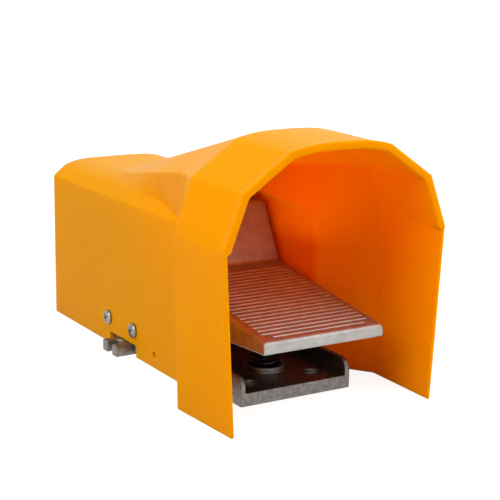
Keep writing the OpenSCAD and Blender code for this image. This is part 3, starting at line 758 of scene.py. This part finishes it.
def coil(node, name, wire, turns):
    """A wire wound around Z, with its end turns closed, in the place of a node."""
    low, high = box_of(node)
    centre = (low + high) / 2
    wire_r = wire / 2
    radius = (high.x - low.x) / 2 - wire_r
    closed = wire * END_PITCH
    rise = (high.z - low.z - wire - 2 * closed * END_TURNS) / (turns - 2 * END_TURNS)
    rim = [math.tau * j / WIRE_SIDES for j in range(WIRE_SIDES)]
    bm = bmesh.new()
    rings = []
    for i in range(int(turns * TURN_STEPS) + 1):
        turn = i / TURN_STEPS
        ends = min(turn, END_TURNS) + max(0, turn - turns + END_TURNS)
        z = low.z + wire_r + closed * ends + rise * (turn - ends)
        around = Vector((math.cos(math.tau * turn), math.sin(math.tau * turn), 0))
        middle = Vector((centre.x, centre.y, z)) + around * radius
        across, up = around * wire_r, Vector((0, 0, wire_r))
        rings.append(add_ring(bm, [middle + across * math.cos(a) + up * math.sin(a) for a in rim]))
    add_solid(bm, rings)
    piece = new_object(name, mesh_from(bm, name))
    place_piece(piece, node)
    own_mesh(piece)


hinge, slide = frame["joints"]
pivot = Vector(hinge["pos_m"]) / MM
spring_low, spring_high = box_of("pedal_spring")
spring_y = (spring_low.y + spring_high.y) / 2
coil("pedal_spring", "pedal_coil", PEDAL_WIRE, PEDAL_TURNS)
coil("spool_spring", "spool_coil", SPOOL_WIRE, SPOOL_TURNS)


# Pedal: a hollow casting with a ribbed tread

pedal_low, pedal_high = box_of("pedal")
PEDAL_HALF, PEDAL_FRONT = pedal_high.x, pedal_low.y
CHEEK_T, SKIN_T = 5, 4
NOSE_R, NOSE_H, NOSE_FOOT_H = 3, 41.2, 34.4
SKIRT_H, SKIRT_DROP_L = 32.5, 32
TREAD_TILT, TREAD_L = math.radians(7.7), 96
PANEL_TILT = math.radians(61.4)
HUMP_DROP, HEEL_L = 8.5, 6

# Roundings of the side outline: under the nose, nose, toe, hump, heel and skirt
OUTLINE_RADII = (1.5, 3.4, 3, 4, 5, 5, 2.6, 2.6, 3, 40)

# Roundings between the outline and the sides, where it faces up and elsewhere
TOP_ROUNDING, SIDE_ROUNDING, SIDE_STEPS = 2.8, 1, 6
SIDE_WELD = 0.03

# A face whose normal has less than this along X belongs to the outline, not to a side
SIDE_FACING = 0.5

# Hollow: how far it lies behind and below the outline, its corners and its edges
POCKET_SHIFT = Vector((3.6, -SKIN_T))
POCKET_RADII = (0, 2, 3, 3, 0, 0)
POCKET_ROOM = 10
POCKET_ROUNDING = 0.6

# Ribs, with their distances from the tread's front, toe and sides
RIB_PITCH, RIB_R, RIB_RISE = 4.1, 1.25, 0.5
RIB_START, RIB_REST, RIB_MARGIN = 3.3, 8, 3.6
RIB_SIDES, RIB_END_STEPS = 20, 6

# Posts under the tread and the hump, and the bores in them
SEAT_R, SEAT_H = 11, 41
SPIGOT_R, SPIGOT_H, SPIGOT_CUT = 3.1, 36.8, 0.6
BOSS_R, BOSS_L = 9, 11
BUMPER_T, BUMPER_STEM_R, BUMPER_STEM_ROOM = 3, 2, 1
BORE_GAP = 0.02

bumper_low, bumper_high = box_of("pedal_bumpers")
bumper_r = (bumper_high.y - bumper_low.y) / 2
bumper_y = (bumper_high.y + bumper_low.y) / 2
BUMPER_PLACES = [Matrix.Translation((side * (bumper_high.x - bumper_r), bumper_y, 0))
                 for side in (-1, 1)]
adjuster_low, adjuster_high = box_of("adjuster_screw")
ADJUSTER_PLACE = Matrix.Translation((0, (adjuster_low.y + adjuster_high.y) / 2, 0))

tread_run = Vector((math.cos(TREAD_TILT), math.sin(TREAD_TILT)))
tread_up = Vector((-tread_run.y, tread_run.x))
tread_start = Vector((PEDAL_FRONT + NOSE_R, NOSE_H - NOSE_R)) + tread_up * NOSE_R
nose_tip = tread_start + tread_run * ((PEDAL_FRONT - tread_start.x) / tread_run.x)
toe = tread_start + tread_run * TREAD_L
panel_run = (pedal_high.z - toe.y) / math.tan(PANEL_TILT)
hump_front = Vector((toe.x + panel_run, pedal_high.z))


def pedal_outline():
    """Side outline of the pedal in Y and Z, from under the nose over the top to the heel."""
    rear, top, foot = pedal_high.y, pedal_high.z, pedal_low.z
    points = [Vector((PEDAL_FRONT, NOSE_FOOT_H)), nose_tip, toe, hump_front,
              Vector((rear - HUMP_DROP, top)), Vector((rear, top - HUMP_DROP)),
              Vector((rear, foot)), Vector((rear - HEEL_L, foot)),
              Vector((rear - HEEL_L, SKIRT_H)), Vector((PEDAL_FRONT + SKIRT_DROP_L, SKIRT_H))]
    return rounded(points, OUTLINE_RADII)


def pedal_pocket():
    """The hollow under the tread and hump, open below and behind."""
    far, deep = pedal_high.y + POCKET_ROOM, pedal_low.z - POCKET_ROOM
    points = [Vector((PEDAL_FRONT + POCKET_SHIFT.x, deep)), tread_start + POCKET_SHIFT,
              toe + POCKET_SHIFT, hump_front + POCKET_SHIFT,
              Vector((far, pedal_high.z - SKIN_T)), Vector((far, deep))]
    return rounded(points, POCKET_RADII)


def inside_tread(y):
    """A height within the tread's skin at y."""
    return tread_start.y + (y - tread_start.x) * math.tan(TREAD_TILT) - SKIN_T / 2


def pedal_posts(bm):
    """Posts under the tread for the spring and the stops, and the boss of the adjuster."""
    spigot = [(SPIGOT_R - SPIGOT_CUT, SPIGOT_H), (SPIGOT_R, SPIGOT_H + SPIGOT_CUT),
              (SPIGOT_R, SEAT_H)]
    seat = rod(SEAT_R, SEAT_H, inside_tread(spring_y))
    add_lathe(bm, spigot + seat, Matrix.Translation((0, spring_y, 0)))
    for place in BUMPER_PLACES:
        add_lathe(bm, rod(bumper_r, bumper_low.z + BUMPER_T, inside_tread(bumper_y)), place)
    boss = rod(BOSS_R, pedal_high.z - BOSS_L, pedal_high.z - SKIN_T / 2)
    add_lathe(bm, boss, ADJUSTER_PLACE)


def pedal_bores(bm):
    """Holes for the pivot pin, the stops' stems and the adjuster."""
    pin_low, pin_high = box_of("pivot_pin")
    pin_r = (pin_high.z - pin_low.z) / 2 + BORE_GAP
    reach = PEDAL_HALF + THROUGH
    add_lathe(bm, rod(pin_r, -reach, reach), along_x(0, pivot.y, pivot.z))
    adjuster_r = (adjuster_high.x - adjuster_low.x) / 2 + BORE_GAP
    bore = rod(adjuster_r, pedal_high.z - BOSS_L - THROUGH, pedal_high.z + THROUGH)
    add_lathe(bm, bore, ADJUSTER_PLACE)
    stem = rod(BUMPER_STEM_R + BORE_GAP, bumper_low.z, bumper_high.z + BUMPER_STEM_ROOM)
    for place in BUMPER_PLACES:
        add_lathe(bm, stem, place)


def pedal_ribs(bm):
    """Round-ended ribs across the tread; the first one is shorter."""
    angles = [math.radians(90 * (1 - i / RIB_END_STEPS)) for i in range(RIB_END_STEPS)]
    count = int((TREAD_L - RIB_START - RIB_REST) / RIB_PITCH) + 1
    for i in range(count):
        half = PEDAL_HALF - RIB_MARGIN - (RIB_PITCH if i == 0 else 0) - RIB_R
        along = tread_run * (RIB_START + i * RIB_PITCH)
        middle = tread_start + along + tread_up * (RIB_RISE - RIB_R)
        end = [(RIB_R * math.sin(a), half + RIB_R * math.cos(a)) for a in angles]
        profile = [(r, -x) for r, x in reversed(end)] + end
        add_lathe(bm, profile, along_x(0, middle.x, middle.y), RIB_SIDES)


def round_sides(casting):
    """Rounds the outline's edges at both sides: wide where they face up, narrow elsewhere."""
    mesh = casting.data
    upward = {}
    for face in mesh.polygons:
        if abs(face.normal.x) < SIDE_FACING:
            upward.update({key: max(0, face.normal.z) for key in face.edge_keys})
    weights = mesh.attributes.new("bevel_weight_edge", "FLOAT", "EDGE")
    for edge, weight in zip(mesh.edges, weights.data):
        a, b = (mesh.vertices[i].co / MM for i in edge.vertices)
        if abs(a.x - b.x) < SAME:
            width = mix(SIDE_ROUNDING, TOP_ROUNDING, upward[edge.key])
            weight.value = width / TOP_ROUNDING
    rounding = bevel(casting, TOP_ROUNDING, SIDE_STEPS)
    rounding.limit_method = "WEIGHT"
    rounding.use_clamp_overlap = False
    weld(casting, SIDE_WELD)
    bake_modifiers(casting)
    casting.data.attributes.remove(casting.data.attributes["bevel_weight_edge"])


def pedal():
    """The casting: its outline, hollowed out, with posts, bores and ribs."""
    bm = bmesh.new()
    add_prism(bm, pedal_outline(), -PEDAL_HALF, PEDAL_HALF)
    casting = new_object("pedal_casting", mesh_from(bm, "pedal_casting"))
    round_sides(casting)
    inside = PEDAL_HALF - CHEEK_T
    tools = bmesh.new()
    add_prism(tools, pedal_pocket(), -inside, inside)
    combine(casting, tools, "DIFFERENCE")
    bevel(casting, POCKET_ROUNDING)
    bake_modifiers(casting)
    steps = ((pedal_posts, "UNION"), (pedal_bores, "DIFFERENCE"), (pedal_ribs, "UNION"))
    for shape, operation in steps:
        tools = bmesh.new()
        shape(tools)
        combine(casting, tools, operation)
    even_normals(casting)
    place_piece(casting, "pedal")


pedal()


# Valve body: its solid with spot faces, chamfers and threads at the ports

VALVE_ROUNDING = 0.8
THREAD_PITCH, THREAD_DEPTH, THREAD_GAP = 1.34, 0.62, 0.05
SPOT_R, SPOT_DEPTH = 8.4, 0.5
PORT_CHAMFER = 0.9
PORT_STEPS = 48


def port_cut(bm, port):
    """Threads of a port as grooves around it, opening into a spot face."""
    radius, half = port["dims"]["r_mm"] + THREAD_GAP, port["dims"]["length_mm"] / 2
    face = half - SPOT_DEPTH
    mouth = face - PORT_CHAMFER
    mouth_r = radius + THREAD_DEPTH / 2
    turns = int((face + half - 2 * THREAD_PITCH) / THREAD_PITCH)
    profile = []
    for i in range(turns):
        z = mouth + (i - turns) * THREAD_PITCH
        profile += [(radius, z), (radius + THREAD_DEPTH, z + THREAD_PITCH / 2)]
    profile += [(mouth_r, mouth), (mouth_r + PORT_CHAMFER, face), (SPOT_R, face),
                (SPOT_R, half + THROUGH)]
    to_rear = Matrix.Rotation(-math.pi / 2, 4, "X")
    add_lathe(bm, profile, Matrix.Translation(Vector(port["pos_m"]) / MM) @ to_rear, PORT_STEPS)


def valve():
    """The block of the solids, with softer edges and threaded ports."""
    mesh = nodes["valve_body"].data.copy()
    mesh.transform(nodes["valve_body"].matrix_world)
    block = new_object("valve_block", mesh)
    soften(block, VALVE_ROUNDING)
    bake_modifiers(block)
    for mount in frame["record"]["mounts"]:
        if mount["kind"] == "threaded_hole":
            tools = bmesh.new()
            port_cut(tools, mount)
            combine(block, tools, "DIFFERENCE")
    even_normals(block)
    place_piece(block, "valve_body")


valve()


# Nodes that keep their own mesh: rounded edges and a finish

EDGE_ROUNDING = {
    "base": 0.8, "valve_cap": 0.4, "adjuster_nut": 0.4, "pedal_bumpers": 0.6,
    "pivot_pin": 0.4, "pivot_bushes": 0.3, "pivot_circlips": 0.15, "adjuster_screw": 0.3,
    "valve_screws": 0.3, "end_plug": 0.3, "spool": 0.1, "wiper_seal": 0.2,
}

for name, piece in nodes.items():
    if not piece.hide_render:
        finish(piece, name)
        if name in EDGE_ROUNDING:
            soften(piece, EDGE_ROUNDING[name])
        even_normals(piece)


# Floor, light and camera

WHITE = (1, 1, 1, 1)
FLOOR_SIZE = 8

# Floor: its grey for the light that it throws back, and its grey and glow where it is seen
FLOOR_GREY = (0.4, 0.4, 0.4, 1)
SEEN_GREY, SEEN_GLOW = (0.33, 0.33, 0.33, 1), 0.86

# World: its light from around and from above, and the height where it starts to rise
AROUND, ABOVE, HORIZON = 0.05, 0.75, 0.1

# Lamps: what they point at and their sizes, in metres; the glow is a small one under the hood
LAMP_AIM, LAMP_SIZE = (0, -0.02, 0.06), (0.7, 0.7)
GLOW_AIM, GLOW_SIZE, GLOW_COLOUR = (0, -0.055, 0.13), (0.05, 0.1), (1, 0.5, 0.15)

# Camera: its place, its directions and its lens
EYE = Vector((-370.15, -643.14, 231.57)) * MM
AZIMUTH, ELEVATION, ROLL = math.radians(-31.67), math.radians(13.01), math.radians(0.88)
LENS, SENSOR, SHIFT_X = 98.19, 36, -0.0051
CLIP_START = 0.01


def seen_directly(owner):
    """One where the camera, or a mirror or glass, looks, and nought for other light."""
    path = add_node(owner, "ShaderNodeLightPath").outputs
    most = path["Is Camera Ray"]
    for ray in ("Is Glossy Ray", "Is Transmission Ray"):
        node = owner.node_tree.nodes.new("ShaderNodeMath")
        node.operation = "MAXIMUM"
        owner.node_tree.links.new(most, node.inputs[0])
        owner.node_tree.links.new(path[ray], node.inputs[1])
        most = node.outputs["Value"]
    return most


def floor():
    """A pale floor that is near white where it is seen, and keeps the object's shadow."""
    bpy.ops.mesh.primitive_plane_add(size=FLOOR_SIZE)
    ground = bpy.context.object
    ground.name = "floor"
    material = bpy.data.materials.new("floor")
    material.use_nodes = True
    tree = material.node_tree
    tree.nodes.clear()
    plain = add_node(material, "ShaderNodeBsdfDiffuse", Color=FLOOR_GREY)
    shaded = add_node(material, "ShaderNodeBsdfDiffuse", Color=SEEN_GREY)
    glow = add_node(material, "ShaderNodeEmission", Color=WHITE, Strength=SEEN_GLOW)
    lit = tree.nodes.new("ShaderNodeAddShader")
    tree.links.new(shaded.outputs["BSDF"], lit.inputs[0])
    tree.links.new(glow.outputs["Emission"], lit.inputs[1])
    chosen = add_node(material, "ShaderNodeMixShader", Fac=seen_directly(material))
    tree.links.new(plain.outputs["BSDF"], chosen.inputs[1])
    tree.links.new(lit.outputs["Shader"], chosen.inputs[2])
    add_node(material, "ShaderNodeOutputMaterial", Surface=chosen.outputs["Shader"])
    ground.data.materials.append(material)


def backdrop():
    """A white tent that gives more light from above than from around the object."""
    world = bpy.data.worlds.new("studio")
    bpy.context.scene.world = world
    world.use_nodes = True
    background = world.node_tree.nodes["Background"]
    background.inputs["Color"].default_value = WHITE
    direction = add_node(world, "ShaderNodeTexCoord").outputs["Generated"]
    height = add_node(world, "ShaderNodeSeparateXYZ", Vector=direction).outputs["Z"]
    light = add_node(world, "ShaderNodeMapRange", Value=height, From_Min=HORIZON,
                     To_Min=AROUND, To_Max=ABOVE).outputs["Result"]
    level = add_node(world, "ShaderNodeMapRange", Value=seen_directly(world),
                     To_Min=light, To_Max=1)
    world.node_tree.links.new(level.outputs["Result"], background.inputs["Strength"])


def soft_lamp(name, place, power, target=LAMP_AIM, size=LAMP_SIZE, colour=(1, 1, 1)):
    """A rectangle of light at a place, turned to its target."""
    lamp = bpy.data.lights.new(name, "AREA")
    lamp.shape = "RECTANGLE"
    lamp.color = colour
    lamp.size, lamp.size_y = size
    lamp.energy = power
    stand = new_object(name, lamp)
    stand.location = place
    stand.rotation_mode = "QUATERNION"
    stand.rotation_quaternion = (Vector(target) - Vector(place)).to_track_quat("-Z", "Y")
    return stand


def camera():
    """The camera as it was solved from the photo's straight edges."""
    lens = bpy.data.cameras.new("camera")
    lens.lens, lens.sensor_width, lens.shift_x = LENS, SENSOR, SHIFT_X
    lens.clip_start = CLIP_START
    level = math.cos(ELEVATION)
    ahead = Vector((-math.sin(AZIMUTH) * level, math.cos(AZIMUTH) * level, -math.sin(ELEVATION)))
    aim = ahead.to_track_quat("-Z", "Y").to_matrix().to_4x4()
    eye = new_object("camera", lens)
    eye.matrix_world = Matrix.Translation(EYE) @ aim @ Matrix.Rotation(ROLL, 4, "Z")
    bpy.context.scene.camera = eye


floor()
backdrop()
soft_lamp("key", (-0.8, -0.35, 0.85), power=6.6)
soft_lamp("left", (-1.05, -0.1, 0.45), power=2.4)
soft_lamp("right", (1.1, -0.1, 0.3), power=7.6)
soft_lamp("top", (0.62, -0.62, 0.85), power=1.6)
rear = soft_lamp("rear", (0.25, 1.15, 0.5), power=2)
rear.visible_glossy = False
front = soft_lamp("front", (0.5, -1.0, 0.3), power=5.2)
front.visible_glossy = False
glow = soft_lamp("glow", (0, -0.06, 0.068), power=0.021, target=GLOW_AIM, size=GLOW_SIZE,
                 colour=GLOW_COLOUR)
glow.visible_camera = False
glow.visible_glossy = False
camera()

scene = bpy.context.scene
scene.view_settings.view_transform = "Standard"
scene.cycles.diffuse_bounces = 16
scene.cycles.max_bounces = 24
